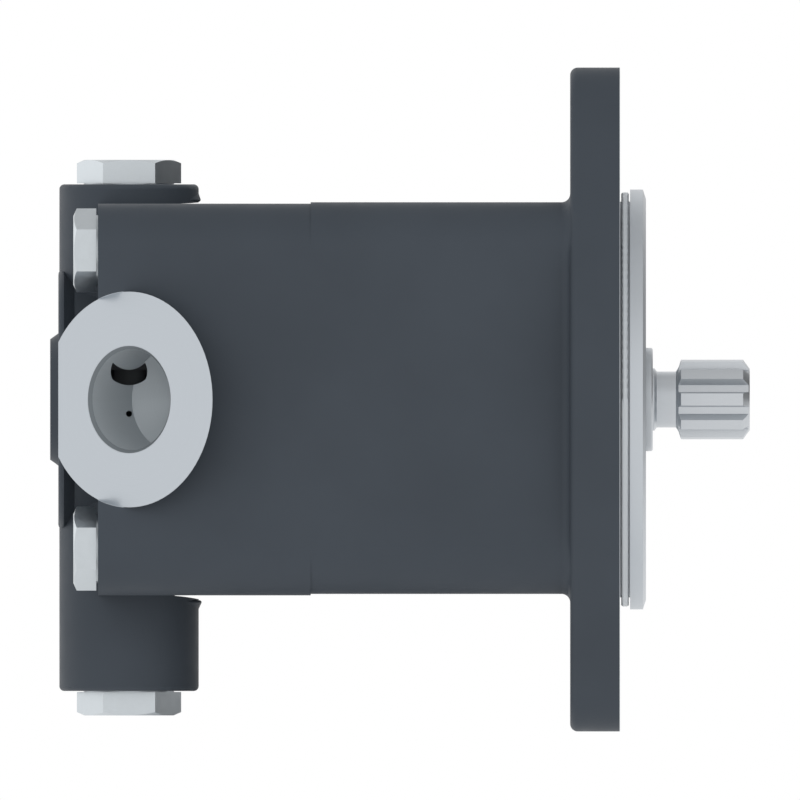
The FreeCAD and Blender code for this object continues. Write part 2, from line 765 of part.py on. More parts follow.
def rear_bores(body):
    """Cartridge cavity, bush seat, seal groove, screw holes and the passages behind the cartridge."""
    bores = sketch_on(body, "bore_half_section", "XZ_Plane")
    bush_radius = "(bush_diameter / 2 + bush_seat_play)"
    draw_loop(bores, [
        ("-joint_distance", "0"),
        ("-joint_distance", "cavity_radius"),
        ("chamber_rear", "cavity_radius"),
        ("chamber_rear", bush_radius),
        ("bush_rear", bush_radius),
        ("bush_rear", "0"),
    ])
    groove(body, "bores", bores)
    ring_room = sketch_on(body, "joint_ring_half_section", "XZ_Plane")
    half_width = "(joint_ring_section / 2 + o_ring_play)"
    draw_box(ring_room, f"-joint_distance - 2 * {half_width}", f"joint_ring_radius - {half_width}",
             "-joint_distance", f"joint_ring_radius + {half_width}")
    groove(body, "joint_ring_groove", ring_room)
    holes = sketch_on(body, "screw_holes", "YZ_Plane", up="-joint_distance")
    screw_circles(holes, "screw_hole_diameter")
    pocket(body, "clearance_holes", holes)
    outlet = "section_half + outlet_boss_height"
    port_bore(body, "outlet_port", "outlet_distance", outlet, "-90",
              "outlet_bore_diameter", "outlet_mouth_diameter", "outlet_bore_depth")
    passage = sketch_on(body, "outlet_passage_section", "YZ_Plane", up="chamber_rear")
    draw_circle(passage, "outlet_passage_diameter", "outlet_passage_offset", "0")
    pocket(body, "outlet_passage", passage, "outlet_distance + chamber_rear")


def valve_bore(body):
    """Upright bore for the flow valve, the inlet port in front of it and the passages between."""
    bore = sketch_on(body, "valve_bore_half_section", "XZ_Plane", along="-tower_distance")
    thread = "(plug_thread_diameter / 2 + plug_thread_play)"
    seat = "(plug_thread_diameter / 2 + plug_ring_section + 2 * o_ring_play)"
    seat_depth = "(plug_ring_section + 2 * o_ring_play)"
    depth = "(plug_thread_length + plug_thread_spare)"
    draw_loop(bore, [
        ("0", "tower_top"),
        (seat, "tower_top"),
        (seat, f"tower_top - {seat_depth}"),
        (thread, f"tower_top - {seat_depth}"),
        (thread, f"tower_top - {depth}"),
        ("valve_bore_diameter / 2", f"tower_top - {depth}"),
        ("valve_bore_diameter / 2", f"{depth} - tower_bottom"),
        (thread, f"{depth} - tower_bottom"),
        (thread, f"{seat_depth} - tower_bottom"),
        (seat, f"{seat_depth} - tower_bottom"),
        (seat, "-tower_bottom"),
        ("0", "-tower_bottom"),
    ])
    groove(body, "valve_bore", bore, "V_Axis")
    port_bore(body, "inlet_port", "tower_distance", "-inlet_face_offset", "90 - inlet_turn",
              "inlet_bore_diameter", "inlet_mouth_diameter", "inlet_bore_depth")
    bypass = sketch_on(body, "bypass_section", "XZ_Plane", "-tower_distance", "0", "inlet_face_offset")
    draw_circle(bypass, "bypass_diameter", "0", "bypass_height")
    draw_circle(bypass, "sense_hole_diameter", "0", "-sense_hole_drop")
    pocket(body, "bypass", bypass, "inlet_face_offset")
    signal = sketch_on(body, "signal_section", "YZ_Plane", up="chamber_rear")
    draw_circle(signal, "signal_passage_diameter", "0", "signal_passage_height")
    pocket(body, "signal_passage", signal, "tower_distance + chamber_rear")


def turned_about_tower(label, corners):
    """A round piece of the valve from its (radius, z) half section."""
    return turned_piece(label, corners, "-tower_distance", "V_Axis")


def torus(label, ring_radius, section, place, upright=False):
    """Round ring of round section, about the shaft or about an upright line."""
    ring = doc.addObject("Part::Torus", label)
    turn = 0 if upright else 90
    ring.Placement = FreeCAD.Placement(Vector(), FreeCAD.Rotation(Vector(0, 1, 0), turn))
    bind(ring, {"Radius1": ring_radius, "Radius2": f"{section} / 2"})
    bind(ring, {f"Placement.Base.{axis}": text for axis, text in place.items()})
    return ring


def housing_screws():
    """Four hexagon screws through the rear casting into the front one."""
    screw = doc.addObject("PartDesign::Body", "screw")
    head_rear = "(-rear_face_distance - screw_head_height)"
    head = sketch_on(screw, "head_section", "YZ_Plane", up=head_rear)
    draw_hexagon(head, "screw_head_corners", 90)
    pad(screw, "head", head, "screw_head_height - screw_collar_height")
    bevel_screw_head(screw, head_rear, "screw_head_corners / 2")
    shank = sketch_on(screw, "shank_half_section", "XZ_Plane")
    tip = "(screw_length - rear_face_distance)"
    draw_loop(shank, [
        ("-rear_face_distance - screw_collar_height", "0"),
        ("-rear_face_distance - screw_collar_height", "screw_collar_diameter / 2"),
        ("-rear_face_distance", "screw_collar_diameter / 2"),
        ("-rear_face_distance", "screw_diameter / 2"),
        (f"{tip} - hexagon_bevel", "screw_diameter / 2"),
        (tip, "screw_diameter / 2 - hexagon_bevel"),
        (tip, "0"),
    ])
    revolve(screw, "shank", shank)
    bind(screw, {"Placement.Base.y": "bolt_offset", "Placement.Base.z": "bolt_offset"})
    across = mirrored("screw_across", screw, Vector(0, 1, 0))
    below = mirrored("screw_below", screw, Vector(0, 0, 1))
    opposite = mirrored("screw_opposite", across, Vector(0, 0, 1))
    group("housing_screws", [screw, across, below, opposite])


def mirrored(name, source, normal):
    """The source seen in a mirror through the origin."""
    image = doc.addObject("Part::Mirroring", name)
    image.Source = source
    image.Normal = normal
    return image


def bevel_screw_head(body, end, corner_radius):
    """Turn the corners off the outer end of a hexagon head that faces the rear."""
    half = sketch_on(body, "bevel_half_section", "XZ_Plane")
    draw_loop(half, [
        (end, f"{corner_radius} - hexagon_bevel / tan(hexagon_bevel_angle) + bevel_spare"),
        (f"{end} + hexagon_bevel", f"{corner_radius} + bevel_spare"),
        (end, f"{corner_radius} + bevel_spare"),
    ])
    groove(body, "head_bevel", half)


def drive_shaft():
    """Shaft with drive spline, seal land, bearing seat, rotor spline and rear journal."""
    seat_radius = "bearing_bore / 2 - bearing_seat_play"
    clip_rear = "(clip_front - shaft_clip_thickness - clip_play)"
    rear = "(bush_rear + shaft_end_gap)"
    spline_radius = "spline_outer_diameter / 2"
    body = turned_piece("drive_shaft", [
        (rear, "0"),
        (rear, "rear_journal_diameter / 2 - shaft_end_bevel"),
        (f"{rear} + shaft_end_bevel", "rear_journal_diameter / 2"),
        ("rotor_spline_rear", "rear_journal_diameter / 2"),
        ("rotor_spline_rear", "rotor_spline_root_diameter / 2"),
        ("cam_front", "rotor_spline_root_diameter / 2"),
        ("cam_front", "shaft_body_diameter / 2"),
        (f"{clip_rear} - shaft_clip_depth", "shaft_body_diameter / 2"),
        (f"{clip_rear} - shaft_clip_depth", seat_radius),
        (clip_rear, seat_radius),
        (clip_rear, "bearing_bore / 2 - shaft_clip_depth"),
        ("bearing_rear", "bearing_bore / 2 - shaft_clip_depth"),
        ("bearing_rear", seat_radius),
        ("bearing_front", seat_radius),
        ("bearing_front", "seal_land_diameter / 2"),
        ("seal_land_front - seal_land_bevel", "seal_land_diameter / 2"),
        ("seal_land_front", "seal_land_diameter / 2 - seal_land_bevel"),
        ("seal_land_front", "neck_flare_diameter / 2"),
        ("neck_flare_end", "neck_flare_diameter / 2"),
        ("neck_flare_end + spline_run_in", "neck_diameter / 2"),
        ("spline_start - spline_run_in", "neck_diameter / 2"),
        ("spline_start", "spline_root_diameter / 2"),
        ("spline_start + spline_run_in", spline_radius),
        ("shaft_front - spline_bevel_length", spline_radius),
        ("shaft_front", f"{spline_radius} - spline_bevel_depth"),
        ("shaft_front", "0"),
    ])
    space = sketch_on(body, "spline_space", "YZ_Plane", up="shaft_front")
    half_space = f"(180 deg / spline_teeth - asin(spline_land / 2 / ({spline_radius})))"
    edge_u = f"({spline_radius} * cos({half_space}))"
    edge_v = f"({spline_radius} * sin({half_space}))"
    root_u = "spline_root_diameter / 2"
    root_v = f"({edge_v} - ({edge_u} - {root_u}) * tan(spline_flank_angle))"
    top_u = f"({spline_radius} + spline_run_in)"
    top_v = f"({edge_v} + ({top_u} - {edge_u}) * tan(spline_flank_angle))"
    draw_loop(space, [(root_u, f"-{root_v}"), (top_u, f"-{top_v}"), (top_u, top_v), (root_u, root_v)])
    cut = pocket(body, "spline_space_cut", space, "shaft_front - spline_start")
    repeat_round(body, "spline_spaces", cut, "X_Axis", "spline_teeth")
    tooth = sketch_on(body, "rotor_spline_tooth", "YZ_Plane", up="rotor_spline_rear")
    half_tooth = "(rotor_spline_space / 2 - rotor_spline_play)"
    draw_box(tooth, "rotor_spline_root_diameter / 2 - spline_run_in", f"-{half_tooth}",
             "rotor_spline_diameter / 2", half_tooth)
    bar = pad(body, "rotor_spline_bar", tooth, "cam_front - rotor_spline_rear")
    repeat_round(body, "rotor_spline", bar, "X_Axis", "rotor_spline_teeth")


def rotor():
    """Slotted rotor on the shaft's inner spline."""
    body = new_body("rotor")
    disc = sketch_on(body, "rotor_outline", "YZ_Plane", up="cam_rear + rotor_end_play")
    draw_circle(disc, "rotor_diameter")
    draw_circle(disc, "rotor_spline_root_diameter + 2 * rotor_spline_play")
    pad(body, "disc", disc, "rotor_width")
    space = sketch_on(body, "spline_space", "YZ_Plane", up="cam_front")
    draw_box(space, "rotor_spline_root_diameter / 2 - spline_run_in", "-rotor_spline_space / 2",
             "rotor_spline_diameter / 2 + rotor_spline_play", "rotor_spline_space / 2")
    cut = pocket(body, "spline_space_cut", space)
    repeat_round(body, "spline_spaces", cut, "X_Axis", "rotor_spline_teeth")
    slot = sketch_on(body, "slot_section", "YZ_Plane", up="cam_front")
    half_slot = "(vane_thickness / 2 + vane_play)"
    foot = "(vane_inner_radius - vane_relief_diameter / 2)"
    draw_box(slot, f"-{half_slot}", foot, half_slot, "rotor_diameter")
    cut = pocket(body, "slot_cut", slot)
    repeat_round(body, "slots", cut, "X_Axis", "vane_count")
    relief = sketch_on(body, "slot_relief_section", "YZ_Plane", up="cam_front")
    draw_circle(relief, "vane_relief_diameter", "0", foot)
    cut = pocket(body, "slot_relief_cut", relief)
    repeat_round(body, "slot_reliefs", cut, "X_Axis", "vane_count")


def vanes():
    """Flat vanes with crowned tips, drawn in, one to each slot."""
    crown_foot = "(vane_tip_radius - vane_tip_crown + sqrt(vane_tip_crown ^ 2 - vane_thickness ^ 2 / 4))"
    count = round(value("vane_count"))
    for index in range(count):
        body = new_body(f"vane_{index + 1:02d}")
        title = f"vane_outline_{index + 1:02d}"
        outline = sketch_on(body, title, "YZ_Plane", up="cam_rear + rotor_end_play")
        draw_loop(outline, [
            ("-vane_thickness / 2", "vane_inner_radius"),
            ("vane_thickness / 2", "vane_inner_radius"),
            ("vane_thickness / 2", crown_foot, "vane_tip_crown"),
            ("-vane_thickness / 2", crown_foot),
        ])
        pad(body, f"vane_blade_{index + 1:02d}", outline, "rotor_width")
        body.Placement.Rotation = FreeCAD.Rotation(Vector(1, 0, 0), 360 * index / count)


def cam_ring():
    """Ring whose bore rises and falls twice a turn, with two dowel holes."""
    length = value("cam_ring_thickness")
    rear = value("cam_rear")
    along_shaft = Vector(1, 0, 0)
    spots = []
    steps = 48  # enough that the curve keeps within a few thousandths of a millimetre
    for step in range(steps):
        turn = 2 * math.pi * step / steps
        rise = math.sin(turn - math.radians(value("cam_turn"))) ** 2
        radius = value("cam_small_radius") + value("cam_lift") * rise
        spots.append(Vector(rear, -radius * math.sin(turn), radius * math.cos(turn)))
    curve = Part.BSplineCurve()
    curve.interpolate(Points=spots, PeriodicFlag=True)
    bore = Part.Face(Part.Wire(curve.toShape())).extrude(along_shaft * length)
    outside = value("cartridge_diameter / 2")
    ring = Part.makeCylinder(outside, length, Vector(rear, 0, 0), along_shaft).cut(bore)
    dowel_radius = value("dowel_diameter / 2 + dowel_play")
    for side in (1, -1):
        centre = Vector(rear, 0, side * value("dowel_circle_radius"))
        ring = ring.cut(Part.makeCylinder(dowel_radius, length, centre, along_shaft))
    feature = doc.addObject("Part::Feature", "cam_ring")
    feature.Shape = ring
    as_node(feature, "cam_ring")


def kidney(sketch, centre_angle):
    """Curved slot about the shaft, opposite a ramp of the cam ring."""
    low = f"({centre_angle} - kidney_span / 2)"
    high = f"({centre_angle} + kidney_span / 2)"
    inner, outer = "kidney_inner_radius", "kidney_outer_radius"
    draw_loop(sketch, [
        (f"{inner} * cos({low})", f"{inner} * sin({low})"),
        (f"{outer} * cos({low})", f"{outer} * sin({low})", outer),
        (f"{outer} * cos({high})", f"{outer} * sin({high})"),
        (f"{inner} * cos({high})", f"{inner} * sin({high})", f"-{inner}"),
    ])


def cut_plate_holes(body, face, ramp):
    """Two kidney ports opposite each other, and the dowel holes, through a plate of the cartridge."""
    ports = sketch_on(body, f"{body.Label}_ports", "YZ_Plane", up=face)
    kidney(ports, f"(90 + cam_turn + {ramp})")
    kidney(ports, f"(270 + cam_turn + {ramp})")
    for side in ("", "-"):
        draw_circle(ports, "dowel_diameter + 2 * dowel_play", "0", f"{side}dowel_circle_radius")
    pocket(body, f"{body.Label}_holes", ports)


def plates():
    """Front side plate, pressure plate with its seal ring, and the spring behind it."""
    bore = "(shaft_body_diameter / 2 + plate_bore_play)"
    plate = turned_piece("front_side_plate", [
        ("cam_front", bore),
        ("side_plate_front", bore),
        ("side_plate_front", "cartridge_diameter / 2"),
        ("cam_front", "cartridge_diameter / 2"),
    ])
    cut_plate_holes(plate, "side_plate_front", 45)
    bore = "(rear_journal_diameter / 2 + plate_bore_play)"
    middle = "(cam_rear - pressure_plate_thickness / 2)"
    floor = "(cartridge_diameter / 2 - plate_ring_groove_depth)"
    plate = turned_piece("pressure_plate", [
        ("pressure_plate_rear", bore),
        ("cam_rear", bore),
        ("cam_rear", "cartridge_diameter / 2"),
        (f"{middle} + plate_ring_groove_width / 2", "cartridge_diameter / 2"),
        (f"{middle} + plate_ring_groove_width / 2", floor),
        (f"{middle} - plate_ring_groove_width / 2", floor),
        (f"{middle} - plate_ring_groove_width / 2", "cartridge_diameter / 2"),
        ("pressure_plate_rear", "cartridge_diameter / 2"),
    ])
    cut_plate_holes(plate, "cam_rear", -45)
    section = "(plate_ring_groove_depth - 2 * o_ring_play)"
    ring = torus("pressure_plate_ring", f"{floor} + o_ring_play + {section} / 2", section, {"x": middle})
    as_node(ring, "pressure_plate_ring")
    near, far = "(chamber_rear + plate_spring_play)", "(pressure_plate_rear - plate_spring_play)"
    turned_piece("pressure_plate_spring", [
        (near, "plate_spring_inner_radius"),
        (f"{near} + plate_spring_thickness", "plate_spring_inner_radius"),
        (far, "plate_spring_outer_radius"),
        (f"{far} - plate_spring_thickness", "plate_spring_outer_radius"),
    ])


def dowel_pins():
    """Two pins that line the cartridge up with the front casting."""
    pins = []
    for number, side in enumerate(("", "-"), start=1):
        pin = doc.addObject("Part::Cylinder", f"dowel_{number}")
        pin.Placement = FreeCAD.Placement(Vector(), FreeCAD.Rotation(Vector(0, 1, 0), 90))
        bind(pin, {
            "Radius": "dowel_diameter / 2",
            "Height": "side_plate_front - pressure_plate_rear + dowel_reach / 2",
            "Placement.Base.x": "pressure_plate_rear + dowel_reach / 2",
            "Placement.Base.z": f"{side}dowel_circle_radius",
        })
        pins.append(pin)
    group("dowel_pins", pins)


def ball_bearing():
    """Deep-groove ball bearing behind the mounting face: two races, balls and a cage."""
    middle = "(bearing_front + bearing_rear) / 2"
    track = "(ball_diameter / 2 + ball_play)"
    half_track = f"sqrt({track} ^ 2 - race_shoulder_gap ^ 2)"
    shoulder = "(ball_circle_radius + race_shoulder_gap)"
    turned_piece("bearing_outer_race", [
        ("bearing_rear", "bearing_diameter / 2 - bearing_seat_play"),
        ("bearing_rear", shoulder),
        (f"{middle} - {half_track}", shoulder, f"-{track}"),
        (f"{middle} + {half_track}", shoulder),
        ("bearing_front", shoulder),
        ("bearing_front", "bearing_diameter / 2 - bearing_seat_play"),
    ])
    shoulder = "(ball_circle_radius - race_shoulder_gap)"
    turned_piece("bearing_inner_race", [
        ("bearing_rear", "bearing_bore / 2"),
        ("bearing_rear", shoulder),
        (f"{middle} - {half_track}", shoulder, track),
        (f"{middle} + {half_track}", shoulder),
        ("bearing_front", shoulder),
        ("bearing_front", "bearing_bore / 2"),
    ])
    balls = []
    count = round(value("ball_count"))
    for index in range(count):
        ball = doc.addObject("Part::Sphere", f"ball_{index + 1}")
        turn = 360 * index / count
        bind(ball, {
            "Radius": "ball_diameter / 2",
            "Placement.Base.x": middle,
            "Placement.Base.y": f"-ball_circle_radius * sin({turn})",
            "Placement.Base.z": f"ball_circle_radius * cos({turn})",
        })
        balls.append(ball)
    group("bearing_balls", balls)
    cage = turned_piece("bearing_cage", [
        (f"{middle} - cage_width / 2", "ball_circle_radius - cage_thickness / 2"),
        (f"{middle} + cage_width / 2", "ball_circle_radius - cage_thickness / 2"),
        (f"{middle} + cage_width / 2", "ball_circle_radius + cage_thickness / 2"),
        (f"{middle} - cage_width / 2", "ball_circle_radius + cage_thickness / 2"),
    ])
    above = "ball_circle_radius + cage_thickness"
    window = sketch_on(cage, "cage_window", "XY_Plane", along=middle, up=above)
    draw_circle(window, "ball_diameter + 2 * cage_pocket_play")
    cut = pocket(cage, "cage_window_cut", window, "2 * cage_thickness")
    repeat_round(cage, "cage_windows", cut, "X_Axis", "ball_count")


def retaining_ring(label, inner, outer, thickness):
    """Spring ring behind the bearing, open at the bottom."""
    ring = turned_piece(label, [
        (f"clip_front - {thickness}", inner),
        ("clip_front", inner),
        ("clip_front", outer),
        (f"clip_front - {thickness}", outer),
    ])
    gap = sketch_on(ring, f"{label}_gap", "YZ_Plane", up="clip_front")
    half_gap = f"({outer} * sin(clip_gap_angle / 2))"
    draw_box(gap, f"-{half_gap}", f"-2 * {outer}", half_gap, "0")
    pocket(ring, f"{label}_opening", gap)


def shaft_seal():
    """Lip seal in front of the bearing: steel case, rubber lip and garter spring."""
    rear = "(seal_front - seal_width)"
    outside = "(seal_bore_diameter / 2 - bearing_seat_play)"
    window = "(seal_land_diameter / 2 + 2 * seal_lip_thickness)"
    turned_piece("seal_case", [
        (rear, outside),
        (rear, f"{outside} - seal_case_wall"),
        ("seal_front - seal_case_wall", f"{outside} - seal_case_wall"),
        ("seal_front - seal_case_wall", window),
        ("seal_front", window),
        ("seal_front", outside),
    ])
    lip = "(seal_land_diameter / 2 + seal_lip_play)"
    back = "(seal_front - seal_case_wall - seal_lip_play)"
    tip = f"({rear} + seal_lip_thickness)"
    turned_piece("seal_lip", [
        (back, lip),
        (back, f"{outside} - seal_case_wall - seal_lip_play"),
        (f"{back} - seal_lip_thickness", f"{outside} - seal_case_wall - seal_lip_play"),
        (f"{back} - seal_lip_thickness", f"{lip} + seal_lip_thickness"),
        (tip, f"{lip} + seal_lip_thickness"),
        (tip, lip),
    ])
    radius = f"{lip} + seal_lip_thickness + seal_lip_play + garter_diameter / 2"
    place = {"x": f"{tip} + garter_diameter / 2"}
    as_node(torus("garter_spring", radius, "garter_diameter", place), "garter_spring")


def flow_valve():
    """Spool with its spring, and the relief ball, spring and seat plug inside it."""
    spool_radius = "(valve_bore_diameter / 2 - spool_play)"
    waist = "spool_waist_diameter / 2"
    top = "(tower_top - plug_thread_length - spring_end_play)"
    turned_about_tower("flow_spool", [
        ("relief_bore_diameter / 2", "-spool_bottom"),
        (f"{spool_radius} - spool_edge_bevel", "-spool_bottom"),
        (spool_radius, "spool_edge_bevel - spool_bottom"),
        (spool_radius, "-spool_waist_bottom"),
        (waist, "-spool_waist_bottom"),
        (waist, "spool_land_bottom"),
        (spool_radius, "spool_land_bottom"),
        (spool_radius, "spool_upper_groove_bottom"),
        (waist, "spool_upper_groove_bottom"),
        (waist, "spool_upper_groove_top"),
        (spool_radius, "spool_upper_groove_top"),
        (spool_radius, f"{top} - spool_edge_bevel"),
        (f"{spool_radius} - spool_edge_bevel", top),
        ("0", top),
        ("0", "relief_bore_top"),
        ("relief_bore_diameter / 2", "relief_bore_top"),
    ])
    seat_top = "(relief_plug_length - spool_bottom)"
    turned_about_tower("relief_plug", [
        ("relief_seat_hole_diameter / 2", "-spool_bottom"),
        ("relief_bore_diameter / 2 - relief_plug_play", "-spool_bottom"),
        ("relief_bore_diameter / 2 - relief_plug_play", seat_top),
        ("relief_seat_hole_diameter / 2", seat_top),
    ])
    seat_rise = "sqrt(relief_ball_diameter ^ 2 - relief_seat_hole_diameter ^ 2) / 2"
    ball_height = f"({seat_top} + {seat_rise} + relief_plug_play)"
    ball = doc.addObject("Part::Sphere", "relief_ball")
    bind(ball, {
        "Radius": "relief_ball_diameter / 2",
        "Placement.Base.x": "-tower_distance",
        "Placement.Base.z": ball_height,
    })
    as_node(ball, "relief_ball")
    coil_spring("relief_spring", "relief_ball_diameter - relief_spring_wire", "relief_spring_wire",
                f"({ball_height} + relief_ball_diameter / 2)", "relief_bore_top", "relief_spring_turns")
    coil_spring("spool_spring", "spool_spring_diameter", "spool_spring_wire",
                "(plug_thread_length - tower_bottom)", "(-spool_bottom)", "spool_spring_turns")


def coil_spring(label, diameter, wire, low, high, turns):
    """Round-wire compression spring about the valve's axis, between two heights."""
    body = new_body(label)
    margin = f"({wire} / 2 + spring_end_play)"
    section = sketch_on(body, f"{label}_wire", "XZ_Plane", along="-tower_distance")
    draw_circle(section, wire, f"({diameter}) / 2", f"{low} + {margin}")
    coil = body.newObject("PartDesign::AdditiveHelix", f"{label}_coil")
    coil.Profile = section
    coil.ReferenceAxis = (section, ["V_Axis"])
    coil.Mode = "height-turns-angle"
    bind(coil, {"Height": f"{high} - {low} - 2 * {margin}", "Turns": turns})
    doc.recompute()


def plug(label, height, turn):
    """Hexagon-headed screw plug that closes one end of the valve bore."""
    body = new_body(label)
    head = sketch_on(body, f"{label}_head_section", "XY_Plane", up="plug_collar_height")
    draw_hexagon(head, "plug_head_corners", 0)
    pad(body, f"{label}_head", head, "plug_head_height - plug_collar_height")
    bevel = sketch_on(body, f"{label}_bevel_half_section", "XZ_Plane")
    corner = "plug_head_corners / 2"
    draw_loop(bevel, [
        (f"{corner} - hexagon_bevel / tan(hexagon_bevel_angle) + bevel_spare", "plug_head_height"),
        (f"{corner} + bevel_spare", "plug_head_height - hexagon_bevel"),
        (f"{corner} + bevel_spare", "plug_head_height"),
    ])
    groove(body, f"{label}_head_bevel", bevel, "V_Axis")
    stem = sketch_on(body, f"{label}_stem_half_section", "XZ_Plane")
    draw_loop(stem, [
        ("0", "plug_collar_height"),
        ("0", "-plug_thread_length"),
        ("plug_thread_diameter / 2 - hexagon_bevel", "-plug_thread_length"),
        ("plug_thread_diameter / 2", "hexagon_bevel - plug_thread_length"),
        ("plug_thread_diameter / 2", "0"),
        ("plug_head_corners / 2 * cos(30)", "0"),
        ("plug_head_corners / 2 * cos(30)", "plug_collar_height"),
    ])
    revolve(body, f"{label}_stem", stem, "V_Axis")
    body.Placement.Rotation = FreeCAD.Rotation(Vector(1, 0, 0), turn)
    bind(body, {"Placement.Base.x": "-tower_distance", "Placement.Base.z": height})


def plug_rings():
    """Seal ring under the head of each plug."""
    depth = "(plug_ring_section / 2 + o_ring_play)"
    radius = "plug_thread_diameter / 2 + o_ring_play + plug_ring_section / 2"
    rings = []
    for name, height in (("top_ring", f"tower_top - {depth}"), ("bottom_ring", f"{depth} - tower_bottom")):
        place = {"x": "-tower_distance", "z": height}
        rings.append(torus(name, radius, "plug_ring_section", place, upright=True))
    group("plug_rings", rings)


front_housing()
rear_housing()
housing_screws()
drive_shaft()
rotor()
vanes()
cam_ring()
plates()
dowel_pins()
turned_piece("rear_bush", [
    ("bush_rear", "rear_journal_diameter / 2 + bush_play"),
    ("chamber_rear", "rear_journal_diameter / 2 + bush_play"),
    ("chamber_rear", "bush_diameter / 2"),
    ("bush_rear", "bush_diameter / 2"),
])
ball_bearing()
housing_clip_outer = "(bearing_diameter / 2 + housing_clip_depth - clip_play)"
retaining_ring("bearing_clip", f"({housing_clip_outer} - housing_clip_width)", housing_clip_outer,
               "housing_clip_thickness")
shaft_clip_inner = "(bearing_bore / 2 - shaft_clip_depth + clip_play)"
retaining_ring("shaft_clip", shaft_clip_inner, f"({shaft_clip_inner} + shaft_clip_width)",
               "shaft_clip_thickness")
shaft_seal()
ring_rear = "(pilot_groove_width - pilot_ring_width) / 2"
ring_front = "(pilot_groove_width + pilot_ring_width) / 2"
turned_piece("pilot_ring", [
    (ring_rear, "pilot_groove_diameter / 2"),
    (ring_front, "pilot_groove_diameter / 2"),
    (ring_front, "pilot_ring_diameter / 2 - pilot_ring_rounding", "pilot_ring_rounding"),
    (f"{ring_front} - pilot_ring_rounding", "pilot_ring_diameter / 2"),
    (f"{ring_rear} + pilot_ring_rounding", "pilot_ring_diameter / 2", "pilot_ring_rounding"),
    (ring_rear, "pilot_ring_diameter / 2 - pilot_ring_rounding"),
])
joint_ring_place = {"x": "-joint_distance - joint_ring_section / 2 - o_ring_play"}
as_node(torus("joint_ring", "joint_ring_radius", "joint_ring_section", joint_ring_place), "joint_ring")
flow_valve()
plug("top_plug", "tower_top", 0)
plug("bottom_plug", "-tower_bottom", 180)
plug_rings()

doc.recompute()
for item in doc.Objects:
    if "Invalid" in item.State or "Error" in item.State:
        raise ValueError(f"{item.Label} did not build: {item.State}")
os.makedirs("parts", exist_ok=True)
for piece in nodes:
    if piece.Shape.isNull() or not piece.Shape.isValid():
        raise ValueError(f"{piece.Label} has no valid shape")
    piece.Shape.exportStep(f"parts/{piece.Label}.step")
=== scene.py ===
import json
import math

import bmesh
import bpy
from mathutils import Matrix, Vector


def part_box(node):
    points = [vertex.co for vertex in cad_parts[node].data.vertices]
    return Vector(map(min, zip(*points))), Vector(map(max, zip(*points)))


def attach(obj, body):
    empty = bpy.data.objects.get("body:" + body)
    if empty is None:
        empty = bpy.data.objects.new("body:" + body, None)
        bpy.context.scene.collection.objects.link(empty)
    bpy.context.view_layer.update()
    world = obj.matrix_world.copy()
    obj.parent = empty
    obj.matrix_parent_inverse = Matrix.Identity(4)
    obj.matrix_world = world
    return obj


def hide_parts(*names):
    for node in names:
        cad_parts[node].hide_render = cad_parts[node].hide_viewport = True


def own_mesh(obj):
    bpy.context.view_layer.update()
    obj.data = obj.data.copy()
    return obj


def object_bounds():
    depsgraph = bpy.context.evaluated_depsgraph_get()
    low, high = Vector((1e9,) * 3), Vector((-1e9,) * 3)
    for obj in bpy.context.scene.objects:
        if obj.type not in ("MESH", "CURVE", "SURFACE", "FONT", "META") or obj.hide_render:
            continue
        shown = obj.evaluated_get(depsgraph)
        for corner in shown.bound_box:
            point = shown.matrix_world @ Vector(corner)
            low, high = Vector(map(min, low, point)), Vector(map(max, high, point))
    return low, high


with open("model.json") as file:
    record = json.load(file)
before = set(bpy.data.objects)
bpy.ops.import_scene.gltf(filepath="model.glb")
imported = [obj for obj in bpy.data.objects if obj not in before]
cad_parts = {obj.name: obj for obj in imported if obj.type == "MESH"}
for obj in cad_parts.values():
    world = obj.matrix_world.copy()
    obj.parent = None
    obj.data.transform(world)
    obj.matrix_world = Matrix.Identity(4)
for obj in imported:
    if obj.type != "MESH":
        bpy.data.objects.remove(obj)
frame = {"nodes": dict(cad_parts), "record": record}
cad_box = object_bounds()
NODES = frame["nodes"]
MOUNTS = {mount["name"]: mount for mount in frame["record"]["mounts"]}
INLET = MOUNTS["inlet_port"]
OUTLET = MOUNTS["outlet_port"]
MM = 0.001
ORIGIN = (0, 0, 0)
SHAFT_AXIS = (1, 0, 0)

# View of the photograph: level with the shaft, square to the pump's side and without perspective
PHOTO_MM_PER_PIXEL = 0.19655
PHOTO_PIXELS = 800
PHOTO_FACE_COLUMN = 620
PHOTO_AXIS_ROW = 399.5
CAMERA_AWAY = 0.8

# Sizes of the ports and of the window between the inlet and the valve bore, as the construction
# has them. A face's place is counted from the port's mount, outwards.
INLET_FACE_AHEAD = 6.5 * MM
INLET_FACE_RADIUS = 21.25 * MM
INLET_BORE_RADIUS = 10.75 * MM
INLET_WALL_RADIUS = 9.9 * MM
INLET_BORE_DEPTH = 13.0 * MM
DRILL_POINT_ANGLE = math.radians(59)
OUTLET_FACE_AHEAD = 8.0 * MM
OUTLET_FACE_RADIUS = 15.1 * MM
OUTLET_BORE_RADIUS = 9.65 * MM
WINDOW_HEIGHT = 5.5 * MM
WINDOW_RADIUS = 3.6 * MM
WINDOW_START = 4.0 * MM

# Where the bare metal of the castings ends
FACE_DEPTH = 0.08 * MM
BORE_REACH = 24.0 * MM
# How deep the ring at a port's mouth reaches that is painted darker, as painted shade
MOUTH_SHADE_DEPTH = 0.72 * MM
EDGE_SOFTNESS = 0.03 * MM

